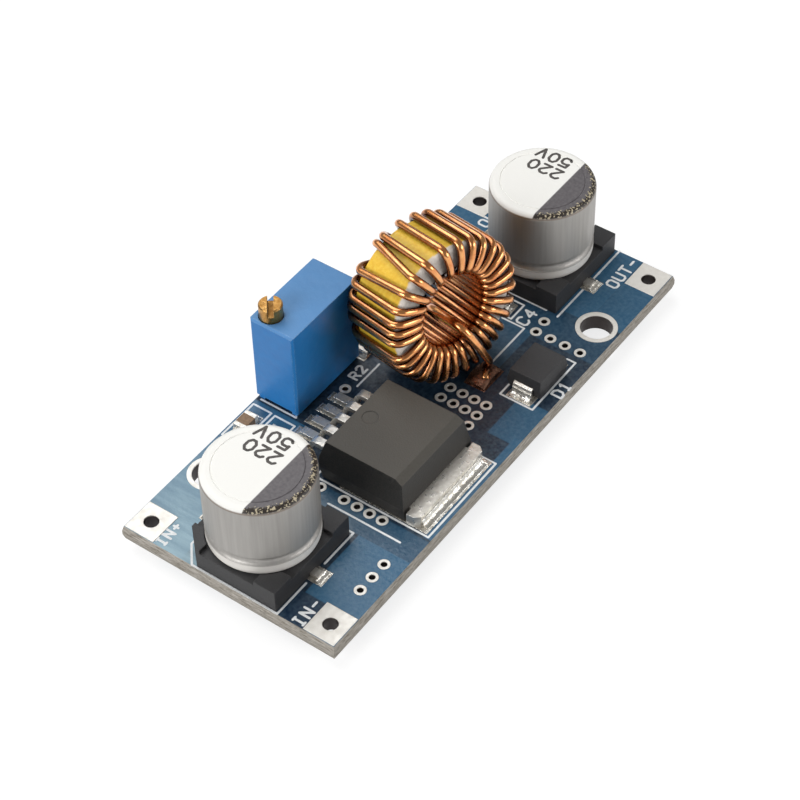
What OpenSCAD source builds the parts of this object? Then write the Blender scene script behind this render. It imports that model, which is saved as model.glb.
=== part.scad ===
// Buck converter module: a step-down regulator board with a hand-wound
// toroidal inductor, two can capacitors and a multi-turn trimmer.
// Millimetres. X runs from the input end to the output end, Y to the trimmer
// edge, Z up. The origin is the middle of the board outline, at the level of
// the trimmer's pin tips, which is what the module stands on.

/* [Board] */
// Length of the board
board_l = 54; // [52:0.5:60]
// Width of the board
board_w = 23; // [22.5:0.5:28]
// Thickness of the board
board_t = 1.6; // [1:0.2:2.4]
// Thickness of the middle web left by the score lines
score_web = 0.5; // [0.3:0.1:0.8]
// Slope of the score grooves from upright, in degrees
score_angle = 15; // [10:1:20]
// Thickness of the plated copper
foil_t = 0.05; // [0.04:0.01:0.1]
// How far the trimmer's pins stand below the board
pin_stub = 1; // [0.6:0.1:1.6]

/* [Terminals and holes] */
// Length of a terminal pad, along X
pad_l = 3.4; // [2.8:0.1:4]
// Width of a terminal pad, along Y
pad_w = 3.2; // [2.8:0.1:4]
// Distance from a terminal pad to the edge of the board
pad_edge = 0.2; // [0.2:0.05:0.5]
// Diameter of a terminal hole
pad_hole_d = 1.4; // [1:0.1:2]
// Diameter of a mounting hole
mount_hole_d = 3.1; // [2.6:0.1:3.4]
// Width of the plated ring round a mounting hole
mount_ring_w = 0.45; // [0.3:0.05:0.7]
// Distance from a mounting hole to the long edge
mount_edge = 2.4; // [2.3:0.1:3]
// Distance from the input end to its mounting hole
mount_in = 9.1; // [8.9:0.1:9.5]
// Distance from the output end to its mounting hole
mount_out = 10.1; // [9.9:0.1:10.5]
// Diameter of a via's hole
via_d = 0.6; // [0.4:0.05:0.7]
// Width of a via's ring
via_ring = 0.26; // [0.15:0.01:0.3]

/* [Capacitors] */
// Diameter of a capacitor can
can_d = 10; // [9:0.5:10]
// Height of a capacitor above the board
cap_h = 10.3; // [9:0.1:13]
// Side of the square capacitor base
base_w = 10.3; // [10.2:0.1:10.6]
// Height of the base under the can
base_h = 1.9; // [1.2:0.1:2.4]
// Height of the base's corners above the can's seat
post_h = 0.45; // [0.2:0.05:0.8]
// Chamfer on the two keyed corners of the base
base_key = 1.8; // [1:0.1:2.2]
// Gap between the can and the base's corners
can_gap = 0.08; // [0.04:0.02:0.15]
// Radius of the can's top edge
can_round = 0.6; // [0.3:0.1:1]
// Depth of the groove that grips the can's seal
groove_d = 0.28; // [0.1:0.02:0.4]
// Height of that groove above the can's seat
groove_h = 1.9; // [1.5:0.1:2.5]
// Width of a capacitor lead
cap_lead_w = 0.8; // [0.5:0.1:1.1]
// Thickness of a capacitor lead
cap_lead_t = 0.3; // [0.2:0.05:0.4]
// Reach of the leads beyond the base
cap_lead_out = 0.85; // [0.5:0.05:1.1]

/* [Regulator] */
// Width of the regulator's body
reg_w = 10.16; // [9.8:0.02:10.4]
// Depth of the regulator's body
reg_d = 9.2; // [8.6:0.1:9.4]
// Height of the regulator above the board
reg_h = 4.5; // [4.2:0.1:4.8]
// Draft of the sides at the top
reg_draft = 0.5; // [0.2:0.05:0.7]
// Thickness of the metal tab
tab_t = 1.3; // [1.1:0.1:1.5]
// Reach of the tab beyond the body
tab_out = 1.5; // [1:0.1:1.8]
// Width of the tab in front of the body
tab_w = 10.1; // [9.4:0.1:10.2]
// Length of the slit at each side, between the tab and the body
tab_slit = 0.8; // [0.4:0.1:1.2]
// Pitch of the regulator's leads
reg_pitch = 1.7; // [1.6:0.02:1.8]
// Width of a regulator lead
reg_lead_w = 0.85; // [0.6:0.05:1]
// Thickness of a regulator lead
reg_lead_t = 0.5; // [0.4:0.05:0.6]
// Height of the leads' upper surface above the board
reg_shoulder = 2.6; // [2.2:0.1:3]
// Length of the leads from the body to their tips
reg_lead_l = 4.4; // [4.1:0.1:4.7]

/* [Inductor] */
// Outer diameter of the coated core
core_od = 13.2; // [13:0.02:13.4]
// Inner diameter of the coated core
core_id = 8.4; // [8.34:0.02:8.6]
// Height of the coated core along its axis
core_h = 6; // [5.4:0.1:6.1]
// Rounding of the core's edges
core_round = 0.45; // [0.4:0.05:0.9]
// Diameter of the enamelled wire
wire_d = 0.72; // [0.64:0.01:0.73]
// Gap between the wire and the core
wire_gap = 0.05; // [0.05:0.01:0.1]
// Least gap between neighbouring turns inside the hole
turn_gap = 0.01; // [0.01:0.005:0.03]
// Gap between the coil and the board
coil_gap = 0.25; // [0.2:0.05:0.5]
// Lean of the coil back from upright, in degrees
coil_tilt = 8.9; // [4:0.1:10]
// Turn of the coil from square to the board, in degrees
coil_yaw = -14.2; // [-18:0.1:-8]

/* [Diode] */
// Length of the diode's body
diode_l = 4.5; // [4.2:0.1:4.8]
// Width of the diode's body
diode_w = 3.6; // [3.3:0.1:3.9]
// Height of the diode above the board
diode_h = 2.3; // [2:0.1:2.5]
// Width of a diode lead
diode_lead_w = 2; // [1.6:0.1:2.2]
// Thickness of a diode lead
diode_lead_t = 0.25; // [0.15:0.05:0.3]

/* [Trimmer] */
// Length of the trimmer
trim_l = 9.5; // [9.3:0.1:9.7]
// Depth of the trimmer
trim_w = 4.8; // [4.6:0.1:4.9]
// Height of the trimmer above the board
trim_h = 10.1; // [9.5:0.1:10.5]
// Height of its stand-off feet
trim_foot = 0.4; // [0.3:0.05:0.6]
// Chamfer on the trimmer's edges
trim_edge = 0.2; // [0.1:0.05:0.3]
// Diameter of the adjusting screw
screw_d = 2.2; // [2:0.05:2.3]
// Height of the screw above the housing
screw_h = 1.5; // [1.2:0.1:1.8]
// Depth of the screw inside the housing
screw_in = 2.2; // [1.5:0.1:3]
// Distance from the screw's axis to the housing's two nearest sides
screw_edge = 1.4; // [1.35:0.05:1.5]
// Radial running clearance of the screw
screw_gap = 0.05; // [0.03:0.01:0.08]
// Width of the screwdriver slot
slot_w = 0.56; // [0.4:0.02:0.7]
// Depth of the screwdriver slot
slot_d = 0.76; // [0.5:0.02:0.9]
// Angle that the slot is left at, in degrees
slot_turn = 38; // [0:1:180]
// Diameter of a trimmer pin
pin_d = 0.51; // [0.4:0.01:0.6]
// Pitch of the trimmer's pins
pin_pitch = 2.54; // [2.5:0.01:2.6]

/* [Chip parts] */
// Length of a chip part
chip_l = 2; // [1.8:0.1:2.1]
// Width of a chip part
chip_w = 1.25; // [1.1:0.05:1.4]
// Height of a chip capacitor
chip_c_h = 0.9; // [0.7:0.05:1.1]
// Height of a chip resistor
chip_r_h = 0.55; // [0.4:0.05:0.6]
// Length of a chip's end cap
chip_end = 0.42; // [0.3:0.02:0.5]

/* [Hidden] */
$fn = 64;

// Levels: underside and top of the board, and the top of its lands.
low = pin_stub;
top = low + board_t;
seat = top + foil_t;
score_in = (board_t - score_web) / 2 * tan(score_angle);

// Where things stand on the board.
pad_at = [board_l / 2 - pad_edge - pad_l / 2, board_w / 2 - pad_edge - pad_w / 2];
mount_at = [[-board_l / 2 + mount_in, board_w / 2 - mount_edge],
    [board_l / 2 - mount_out, -board_w / 2 + mount_edge]];
cap_in_at = [-21.55, -0.05];
cap_out_at = [21.35, 0.15];
reg_at = [-7.6, -3.7];
coil_at = [4.93, 1.12];
diode_at = [8.1, -8.3];
trim_at = [-3.5, board_w / 2 - 0.05 - trim_w / 2];
// Chip parts: centre, angle and whether it is a capacitor.
chips = [[[14.45, 0.1], 90, true], [[-11.6, 9.95], 0, true], [[-11.6, 7.4], 0, false], [[2.6, 6.75], 0, false]];
via_at = concat(
    [for (x = [-20.8, -19.1, -17.4]) [x, -9.6]],
    [for (y = [-6.6, -5.25, -3.9, -2.5, 0.1]) [-13.55, y]],
    [for (x = [1.3, 2.8], y = [-6.3, -5, -3.7, -2.35]) [x, y]],
    [[-0.15, -6.35], [-2.8, 5.4], [14.75, -4.7]],
    [for (y = [-4.8, -6.4, -8, -9.65]) [13.2, y]]);

// The pins stand in one row under the middle of the trimmer.
pin_at = [for (i = [-1 : 1]) trim_at + [i * pin_pitch, 0]];
pin_hole_r = pin_d / 2 + 0.17;
pin_pad_r = pin_hole_r + 0.4;

// The two lands of the inductor: centre and size.
coil_land = [3.2, 2.25];
coil_land_at = [[5.65, -4.1], [6, 8.75]];

// Sizes of the lands under the other parts.
cap_land = [1.75, 4.6];
cap_land_mid = base_w / 2 + cap_lead_out + 0.65 - cap_land.y / 2;
tab_land = [tab_w - 0.1, 9.4];
reg_land = [1.05, 2.4];
diode_land = [1.9, 2.6];
diode_land_mid = diode_l / 2 + diode_lead_t + 0.35 - diode_land.x / 2 + 0.35;
chip_land = [1.1, 1.4];
chip_land_mid = chip_l / 2 + 0.1;

// ---------- helpers

function unit(v) = v / norm(v);
function mix(a, b, t) = a + (b - a) * t;
// Points on an arc of radius r that rounds the corner b of the path a, b, c.
function corner(a, b, c, r, n = 5) =
    let (u = unit(a - b), v = unit(c - b), half = acos(u * v) / 2,
        m = b + unit(u + v) * r / sin(half),
        p = b + u * r / tan(half) - m, q = b + v * r / tan(half) - m,
        s = atan2(p.y, p.x), w = (atan2(q.y, q.x) - s + 540) % 360 - 180)
    [for (i = [0 : n]) m + r * [cos(s + w * i / n), sin(s + w * i / n)]];
// A path with every inner corner rounded.
function rounded(p, r) = concat([p[0]],
    [for (i = [1 : len(p) - 2]) each corner(p[i - 1], p[i], p[i + 1], r)], [p[len(p) - 1]]);
function along(p, i) = let (n = len(p) - 1)
    i == 0 ? unit(p[1] - p[0]) : i == n ? unit(p[n] - p[n - 1]) :
    unit(unit(p[i + 1] - p[i]) + unit(p[i] - p[i - 1]));
function left_of(d) = [-d.y, d.x];

// A strip of metal of thickness t that follows a flat path.
module strip(p, t) {
    side = [for (i = [0 : len(p) - 1]) left_of(along(p, i)) * t / 2];
    polygon(concat([for (i = [0 : len(p) - 1]) p[i] + side[i]],
        [for (i = [len(p) - 1 : -1 : 0]) p[i] - side[i]]));
}

module box(size) {
    translate([-size.x / 2, -size.y / 2, 0]) cube(size);
}

// A plated hole with a pad on both faces of the board.
module plated(hole_r, skin = foil_t) {
    translate([0, 0, low - foil_t]) difference() {
        union() {
            children();
            translate([0, 0, board_t + foil_t]) children();
            cylinder(r = hole_r + skin, h = board_t + 2 * foil_t);
        }
        translate([0, 0, -1]) cylinder(r = hole_r, h = board_t + 2 * foil_t + 2);
    }
}

// A wedge of solder against a lead's end, rising from the land towards -X.
module toe(w, l, h) {
    rotate([90, 0, 0]) translate([0, 0, -w / 2]) linear_extrude(w)
        difference() {
            square([l, h]);
            translate([l, h]) scale_circle(l, h);
        }
}
// The hollow of the wedge: a round of the larger of its two sides.
module scale_circle(l, h) {
    r = (l * l + h * h) / (2 * min(l, h));
    translate(l > h ? [0, r - h] : [r - l, 0]) circle(r);
}

// ---------- board

module score_profile(w) {
    polygon([[-w / 2 + score_in, 0], [w / 2 - score_in, 0], [w / 2, (board_t - score_web) / 2],
        [w / 2, (board_t + score_web) / 2], [w / 2 - score_in, board_t], [-w / 2 + score_in, board_t],
        [-w / 2, (board_t + score_web) / 2], [-w / 2, (board_t - score_web) / 2]]);
}

module hole(at, r) {
    translate([at.x, at.y, low - 1]) cylinder(r = r, h = board_t + 2);
}

module circuit_board() color("royalblue") difference() {
    translate([0, 0, low]) intersection() {
        rotate([90, 0, 0]) translate([0, 0, -board_w]) linear_extrude(2 * board_w) score_profile(board_l);
        rotate([90, 0, 90]) translate([0, 0, -board_l]) linear_extrude(2 * board_l) score_profile(board_w);
    }
    for (x = [-1, 1], y = [-1, 1]) hole([x * pad_at.x, y * pad_at.y], pad_hole_d / 2 + foil_t);
    for (p = mount_at) hole(p, mount_hole_d / 2 + foil_t);
    for (p = via_at) hole(p, via_d / 2 + foil_t);
    for (p = pin_at) hole(p, pin_hole_r + foil_t);
}

module terminal_pads() color("silver")
    for (x = [-1, 1], y = [-1, 1]) translate([x * pad_at.x, y * pad_at.y, 0])
        plated(pad_hole_d / 2) box([pad_l, pad_w, foil_t]);

module mounting_rings() color("silver")
    for (p = mount_at) translate([p.x, p.y, 0])
        plated(mount_hole_d / 2) cylinder(d = mount_hole_d + 2 * mount_ring_w, h = foil_t);

module vias() color("silver")
    for (p = via_at) translate([p.x, p.y, 0])
        plated(via_d / 2) cylinder(d = via_d + 2 * via_ring, h = foil_t, $fn = 32);

module trimmer_pads() color("silver")
    for (p = pin_at) translate([p.x, p.y, 0])
        plated(pin_hole_r) cylinder(r = pin_pad_r, h = foil_t, $fn = 32);

module solder_lands() color("silver") translate([0, 0, top]) {
    for (c = [cap_in_at, cap_out_at], s = [-1, 1])
        translate([c.x, c.y + s * cap_land_mid, 0]) box([cap_land.x, cap_land.y, foil_t]);
    translate([reg_at.x, reg_front - 0.85 + tab_land.y / 2, 0]) box([tab_land.x, tab_land.y, foil_t]);
    for (i = [-2 : 2]) translate([reg_at.x + i * reg_pitch, reg_toe - 0.45, 0])
        box([reg_land.x, reg_land.y, foil_t]);
    for (p = coil_land_at) translate([p.x, p.y, 0]) box([coil_land.x, coil_land.y, foil_t]);
    for (s = [-1, 1]) translate([diode_at.x + s * diode_land_mid, diode_at.y, 0])
        box([diode_land.x, diode_land.y, foil_t]);
    for (c = chips) translate([c[0].x, c[0].y, 0]) rotate(c[1])
        for (s = [-1, 1]) translate([s * chip_land_mid, 0, 0]) box([chip_land.x, chip_land.y, foil_t]);
}

// ---------- can capacitors

can_seat = seat + base_h;
can_h = top + cap_h - can_seat;
lead_slot = 0.05;

// Square base with two keyed corners towards +Y, corner posts round the can
// and a groove for each lead.
module cap_base() {
    k = base_key;
    w = base_w / 2;
    difference() {
        linear_extrude(base_h + post_h)
            polygon([[-w, -w], [w, -w], [w, w - k], [w - k, w], [-w + k, w], [-w, w - k]]);
        translate([0, 0, base_h]) cylinder(d = can_d + 2 * can_gap, h = post_h + 1);
        // the walls between the posts stop at the seat
        for (a = [0, 90]) rotate(a) translate([0, 0, base_h]) box([base_w * 0.56, base_w + 2, post_h + 1]);
        for (s = [-1, 1]) translate([0, s * (base_w / 2 + 1 - 0.5 * base_w / 2), -1])
            box([cap_lead_w + 2 * lead_slot, base_w / 2 + 2, cap_lead_t + lead_slot + 1]);
    }
}

// Drawn can: rolled foot, groove that grips the seal, and a rounded top.
module cap_can() {
    r = can_d / 2;
    g = groove_d;
    difference() {
        rotate_extrude() difference() {
            union() {
                translate([0, 0]) square([r - 0.7, can_h]);
                translate([0, 0.7]) square([r, can_h - 0.7 - can_round]);
                square([r - can_round, can_h]);
                translate([r - can_round, can_h - can_round]) circle(can_round);
                translate([r - 0.7, 0.7]) circle(0.7);
            }
            translate([-2 * r, -1]) square([2 * r, can_h + 2]);
            translate([r + 0.6 - g, groove_h]) circle(0.6);
        }
        // shallow ring pressed round the printed top
        translate([0, 0, can_h]) rotate_extrude() translate([r - 1.05, 0]) circle(0.07, $fn = 24);
    }
}

// Flat leads that run out under the base, one each way.
module cap_leads() {
    reach = base_w / 2 + cap_lead_out;
    for (s = [-1, 1]) translate([0, s * (reach + 1.3) / 2, 0]) box([cap_lead_w, reach - 1.3, cap_lead_t]);
}

module at_cap(c, z) {
    translate([c.x, c.y, z]) children();
}
module input_cap_base() color("dimgray") at_cap(cap_in_at, seat) cap_base();
module input_cap_can() color("silver") at_cap(cap_in_at, can_seat) cap_can();
module input_cap_leads() color("gainsboro") at_cap(cap_in_at, seat) cap_leads();
module output_cap_base() color("dimgray") at_cap(cap_out_at, seat) cap_base();
module output_cap_can() color("silver") at_cap(cap_out_at, can_seat) cap_can();
module output_cap_leads() color("gainsboro") at_cap(cap_out_at, seat) cap_leads();

// ---------- regulator

reg_front = reg_at.y - reg_d / 2 - tab_out;
reg_back = reg_at.y + reg_d / 2;
reg_toe = reg_back + reg_lead_l;
reg_body_h = top + reg_h - seat;
reg_mid = top + reg_shoulder - reg_lead_t - seat;

// Moulded body: the sides, front and back are drafted, the front edge is
// bevelled, and a small round mark is sunk in the top.
module regulator_body() color([0.24, 0.24, 0.23]) {
    d = reg_d / 2;
    w = reg_w / 2;
    translate([reg_at.x, reg_at.y, seat]) difference() {
        intersection() {
            rotate([90, 0, 90]) translate([0, 0, -reg_w]) linear_extrude(2 * reg_w)
                polygon([[-d, tab_t], [-d + 0.45, reg_body_h - 0.45], [-d + 1.2, reg_body_h],
                    [d - 0.55, reg_body_h], [d, reg_mid + reg_lead_t], [d, reg_mid],
                    [d - 0.3, 0.1], [d - 2.2, 0.1], [-d + 0.2, 0.1], [-d, 0.3]]);
            rotate([90, 0, 0]) translate([0, 0, -reg_d]) linear_extrude(2 * reg_d)
                polygon([[-w + 0.15, 0], [w - 0.15, 0], [w, tab_t + 0.2],
                    [w - reg_draft, reg_body_h], [-w + reg_draft, reg_body_h], [-w, tab_t + 0.2]]);
        }
        regulator_tab_blank();
        for (i = [-2 : 2]) translate([i * reg_pitch, d, reg_mid])
            box([reg_lead_w, 2 * lead_in, reg_lead_t]);
        translate([0, 2.6, reg_body_h - 0.06]) cylinder(d = 1.5, h = 1);
    }
}
lead_in = 1.2;

// Tab outline in the regulator's own place: narrow under the body, and as
// wide as the body in front of it, with a slit at each side.
module regulator_tab_blank() {
    ear = tab_w / 2;
    neck = ear - tab_slit;
    inner = reg_d / 2 - 2.4;
    slit = -reg_d / 2 - 0.22;
    tip = -reg_d / 2 - tab_out;
    linear_extrude(tab_t)
        polygon([[-neck, inner], [-neck, slit], [-ear, slit], [-ear, tip + 0.5], [-ear + 0.4, tip],
            [ear - 0.4, tip], [ear, tip + 0.5], [ear, slit], [neck, slit], [neck, inner]]);
}
module regulator_tab() color("gainsboro")
    translate([reg_at.x, reg_at.y, seat]) regulator_tab_blank();

// Gull-wing lead in its own plane: out of the body, down and out to the land.
module gull_wing() {
    h = reg_mid + reg_lead_t / 2;
    f = reg_lead_t / 2;
    strip(rounded([[-lead_in, h], [0.36 * reg_lead_l, h], [0.56 * reg_lead_l, f], [reg_lead_l, f]], 0.45),
        reg_lead_t);
}
module regulator_leads() color("gainsboro")
    for (i = [-2 : 2]) translate([reg_at.x + i * reg_pitch, reg_back, seat])
        rotate([90, 0, 90]) translate([0, 0, -reg_lead_w / 2]) linear_extrude(reg_lead_w) gull_wing();

// ---------- toroidal inductor

turn_r = wire_d / 2;
wire_off = turn_r + wire_gap;
r_out = core_od / 2 + wire_off;
r_in = core_id / 2 - wire_off;
h_wire = core_h / 2 + wire_off;
bend_r = core_round + wire_off;

// The coil stands on its lowest turn, just clear of the board.
coil_rise = (r_out - bend_r) * cos(coil_tilt) + (h_wire - bend_r) * sin(coil_tilt) + bend_r + turn_r;
coil_c = [coil_at.x, coil_at.y, top + coil_gap + coil_rise];
coil_u = [cos(coil_yaw), sin(coil_yaw), 0];
coil_a = [sin(coil_yaw) * cos(coil_tilt), -cos(coil_yaw) * cos(coil_tilt), sin(coil_tilt)];
coil_v = cross(coil_a, coil_u);
function in_coil(r, a, h) = coil_c + r * cos(a) * coil_u + r * sin(a) * coil_v + h * coil_a;

// Where each turn crosses the outer edge of the front face, as wound by hand,
// in degrees round the core from its right side.
turn_at = [-62, -53.5, -45, -33.5, -21, -7.5, 6, 18, 30, 42, 54.5, 66.5, 79, 93.5, 110.5,
    123.5, 137, 151, 161.5, 169.5, 177.5, 194, 202, 213.5, 227, 241, 251, 262, 273.5, 284];
turns = len(turn_at);
lead_at = -70;
// Inside the hole the turns lie side by side, but for a loose stretch over
// the top that takes up whatever room is left.
tight = 2 * asin((wire_d + turn_gap) / 2 / r_in);
spare = 360 - (turns + 1) * tight;
loose = [12, 17];
function ease(t) = let (x = max(0, min(1, t))) x * x * (3 - 2 * x);
function hole_at(k) = lead_at + k * tight + spare * ease((k - loose[0]) / (loose[1] - loose[0]));
drift = 2;
// A turn leans a little as it crosses the outside, the one at lean_most the most.
lean_most = 15;
function back_at(k) = turn_at[k] - 3 - 5 * exp(-pow(k - lean_most, 2));

// Quarter bends of the wire, as [radius, height, share of the way out].
bend_steps = 3;
function quarter(r0, h0, a0) = [for (i = [0 : bend_steps]) let (a = a0 + 90 * i / bend_steps,
    r = r0 + bend_r * cos(a)) [r, h0 + bend_r * sin(a), (r - r_in) / (r_out - r_in)]];
function quarter_back(r0, h0, a0) = [for (i = [0 : bend_steps]) let (a = a0 - 90 * i / bend_steps,
    r = r0 + bend_r * cos(a)) [r, h0 + bend_r * sin(a), (r - r_in) / (r_out - r_in)]];
hb = h_wire - bend_r;
front_out = quarter(r_out - bend_r, hb, 0);
front_in = quarter(r_in + bend_r, hb, 90);
back_in = quarter(r_in + bend_r, -hb, 180);
back_out = quarter(r_out - bend_r, -hb, 270);
function lay(steps, inner, outer) = [for (s = steps) in_coil(s[0], mix(inner, outer, s[2]), s[1])];
function turn_front(k) = lay(concat(front_out, front_in), hole_at(k), turn_at[k - 1]);
function turn_back(k) = lay(concat(back_in, back_out), hole_at(k) + drift, back_at(k));

// The front lead comes out of the hole, crosses the face and lies down on
// its land; the back lead runs down behind the coil.
lead_z = seat + turn_r + 0.06;
front_end = [5.05, -4.65, lead_z];
front_foot = [6.5, -3.75, lead_z];
back_end = [6, 9.4, lead_z];
back_foot = [6, 7.9, lead_z];
function blend3(a, b, c, r, n = 4) =
    let (u = unit(a - b), v = unit(c - b), half = acos(u * v) / 2, d = min(r / tan(half),
        0.45 * norm(a - b), 0.45 * norm(c - b)), p = b + u * d, q = b + v * d)
    [for (i = [0 : n]) let (t = i / n) (1 - t) * (1 - t) * p + 2 * t * (1 - t) * b + t * t * q];
front_lead = concat([front_end],
    blend3(front_end, front_foot, in_coil(r_out, lead_at, h_wire), 0.8),
    [in_coil(r_out, lead_at, h_wire), in_coil(mix(r_in, r_out, 0.6), lead_at, h_wire)],
    lay(front_in, lead_at, lead_at), turn_back(0));
last_back = hole_at(turns) + drift;
last_out = last_back + 5;
back_lead = concat(lay(back_in, last_back, last_out),
    [in_coil(r_out - bend_r, last_out, -h_wire)],
    blend3(in_coil(r_out - bend_r, last_out, -h_wire), back_foot, back_end, 0.8),
    [back_end]);
wire_path = concat(front_lead,
    [for (k = [1 : turns]) each (k < turns ? concat(turn_front(k), turn_back(k)) : turn_front(k))],
    back_lead);

// Carries a normal along the path without letting it twist.
function carried(n, t) = unit(n - (n * t) * t);
wire_sides = 8;
wire_n = len(wire_path);
wire_t = [for (i = [0 : wire_n - 1]) along(wire_path, i)];
wire_normals = [for (i = 0, n = carried([0, 0, 1], wire_t[0]); i < wire_n;
    i = i + 1, n = i < wire_n ? carried(n, wire_t[i]) : n) n];
wire_points = [for (i = [0 : wire_n - 1]) let (n = wire_normals[i], b = cross(wire_t[i], n))
    for (j = [0 : wire_sides - 1]) let (a = 360 * j / wire_sides)
    wire_path[i] + turn_r * (cos(a) * n + sin(a) * b)];
wire_faces = concat(
    [[for (j = [0 : wire_sides - 1]) j]],
    [for (i = [0 : wire_n - 2], j = [0 : wire_sides - 1])
        let (a = i * wire_sides + j, b = i * wire_sides + (j + 1) % wire_sides,
            c = a + wire_sides, d = b + wire_sides)
        each [[a, c, b], [b, c, d]]],
    [[for (j = [wire_sides - 1 : -1 : 0]) (wire_n - 1) * wire_sides + j]]);

module inductor_winding() color("sandybrown") polyhedron(wire_points, wire_faces, convexity = 10);

module inductor_core() color("gold") translate(coil_c) rotate([90 - coil_tilt, 0, coil_yaw])
    rotate_extrude($fn = 96) translate([core_id / 2, -core_h / 2]) {
        w = (core_od - core_id) / 2;
        c = core_round;
        translate([c, 0]) square([w - 2 * c, core_h]);
        translate([0, c]) square([w, core_h - 2 * c]);
        for (x = [c, w - c], y = [c, core_h - c]) translate([x, y]) circle(c, $fn = 32);
    }

// ---------- diode

diode_body_h = top + diode_h - seat;
module diode_body() color([0.23, 0.23, 0.22]) {
    l = diode_l / 2;
    w = diode_w / 2;
    t = diode_lead_t;
    m = diode_body_h * 0.52;
    translate([diode_at.x, diode_at.y, seat]) difference() {
        intersection() {
            rotate([90, 0, 0]) translate([0, 0, -diode_w]) linear_extrude(2 * diode_w)
                polygon([[-l + 0.15, t], [l - 0.15, t], [l, m], [l - 0.22, diode_body_h],
                    [-l + 0.22, diode_body_h], [-l, m]]);
            rotate([90, 0, 90]) translate([0, 0, -diode_l]) linear_extrude(2 * diode_l)
                polygon([[-w + 0.12, t], [w - 0.12, t], [w, m], [w - 0.16, diode_body_h],
                    [-w + 0.16, diode_body_h], [-w, m]]);
        }
        for (s = [-1, 1]) scale_x(s) translate([0, 0, m - t / 2])
            translate([l - 0.5, -diode_lead_w / 2, 0]) cube([1, diode_lead_w, t]);
    }
}
module scale_x(s) {
    mirror([s < 0 ? 1 : 0, 0, 0]) children();
}
// J-shaped lead: out of the body's end, down and back under it.
module j_lead() {
    t = diode_lead_t;
    m = diode_body_h * 0.52;
    x = diode_l / 2 + t / 2 + 0.02;
    strip(rounded([[diode_l / 2 - 0.5, m], [x, m], [x, t / 2], [x - 1.3, t / 2]], 0.2), t);
}
module diode_leads() color("gainsboro")
    for (s = [-1, 1]) translate([diode_at.x, diode_at.y, seat]) scale_x(s)
        rotate([90, 0, 0]) translate([0, 0, -diode_lead_w / 2]) linear_extrude(diode_lead_w) j_lead();

// ---------- trimmer

trim_body_h = trim_h - trim_foot;
seal_t = 0.8;
seal_in = 0.55;
trim_base = top + trim_foot;
screw_at = trim_at + [-trim_l / 2 + screw_edge, trim_w / 2 - screw_edge];

// Moulded housing with bevelled upright edges and top, four feet and a
// recess underneath for the potted seal.
module trimmer_housing() color("steelblue") difference() {
    union() {
        intersection() {
            translate([trim_at.x, trim_at.y, trim_base]) linear_extrude(trim_body_h)
                bevelled(trim_l, trim_w, trim_edge);
            translate([trim_at.x, trim_at.y, 0]) rotate([90, 0, 0]) translate([0, 0, -trim_w])
                linear_extrude(2 * trim_w) translate([0, trim_base + trim_body_h / 2])
                bevelled(trim_l, trim_body_h, trim_edge);
        }
        for (x = [-1, 1], y = [-1, 1])
            translate([trim_at.x + x * (trim_l / 2 - 0.7), trim_at.y + y * (trim_w / 2 - 0.55), top])
                box([0.9, 0.6, trim_foot + trim_edge]);
    }
    translate([trim_at.x, trim_at.y, trim_base - 0.01])
        box([trim_l - 2 * seal_in - 2, trim_w - 2 * seal_in, seal_t + 0.01]);
    translate([screw_at.x, screw_at.y, trim_base + trim_body_h - screw_in])
        cylinder(d = screw_d + 2 * screw_gap, h = screw_in + 1);
}
module bevelled(l, w, e) {
    polygon([[-l / 2 + e, -w / 2], [l / 2 - e, -w / 2], [l / 2, -w / 2 + e], [l / 2, w / 2 - e],
        [l / 2 - e, w / 2], [-l / 2 + e, w / 2], [-l / 2, w / 2 - e], [-l / 2, -w / 2 + e]]);
}

module trimmer_seal() color("slategray") difference() {
    translate([trim_at.x, trim_at.y, trim_base]) box([trim_l - 2 * seal_in - 2, trim_w - 2 * seal_in, seal_t]);
    for (p = pin_at) translate([p.x, p.y, 0]) cylinder(d = pin_d, h = trim_base + seal_t - 0.2, $fn = 32);
}

module trimmer_pins() color("gainsboro")
    for (p = pin_at) translate([p.x, p.y, 0]) cylinder(d = pin_d, h = trim_base + seal_t - 0.2, $fn = 32);

// The adjusting screw turns in the housing; it has a straight slot.
module trimmer_screw() color("goldenrod")
    translate([screw_at.x, screw_at.y, top + trim_h - screw_in + 0.1]) difference() {
        union() {
            cylinder(d = screw_d, h = screw_in + screw_h - 0.22);
            translate([0, 0, screw_in + screw_h - 0.22])
                cylinder(d1 = screw_d, d2 = screw_d - 0.24, h = 0.12);
        }
        rotate(slot_turn) translate([0, 0, screw_in + screw_h - 0.1 - slot_d])
            box([screw_d + 1, slot_w, slot_d + 1]);
    }

// ---------- chip parts

module each_chip() {
    for (c = chips) translate([c[0].x, c[0].y, seat]) rotate(c[1]) {
        $chip_h = c[2] ? chip_c_h : chip_r_h;
        $is_cap = c[2];
        children();
    }
}
module chip_bodies() color("tan") each_chip() translate([0, 0, 0.03])
    box([chip_l - 2 * chip_end, chip_w, $chip_h - 0.03]);
module chip_end_caps() color("gainsboro") each_chip()
    for (s = [-1, 1]) translate([s * (chip_l - chip_end) / 2, 0, 0]) box([chip_end, chip_w, $chip_h]);

// ---------- solder

// Low pillow of solder over an inductor land, with the lead lying in it.
module coil_solder(land, p, q) {
    r = 3.1;
    h = 0.72;
    difference() {
        intersection() {
            translate([land.x, land.y, seat + h - r]) sphere(r);
            translate([land.x, land.y, seat]) box([coil_land.x - 0.2, coil_land.y - 0.2, 2]);
        }
        translate(p) rotate([0, 90, atan2((p - q).y, (p - q).x) + 180]) translate([0, 0, -0.05])
            cylinder(r = turn_r + 0.02, h = norm(p - q) + 3);
        translate([q.x, q.y, seat - 1]) rotate(atan2((q - p).y, (q - p).x)) translate([-0.9, -0.6, 0]) cube([4, 1.2, 4]);
    }
}

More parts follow.
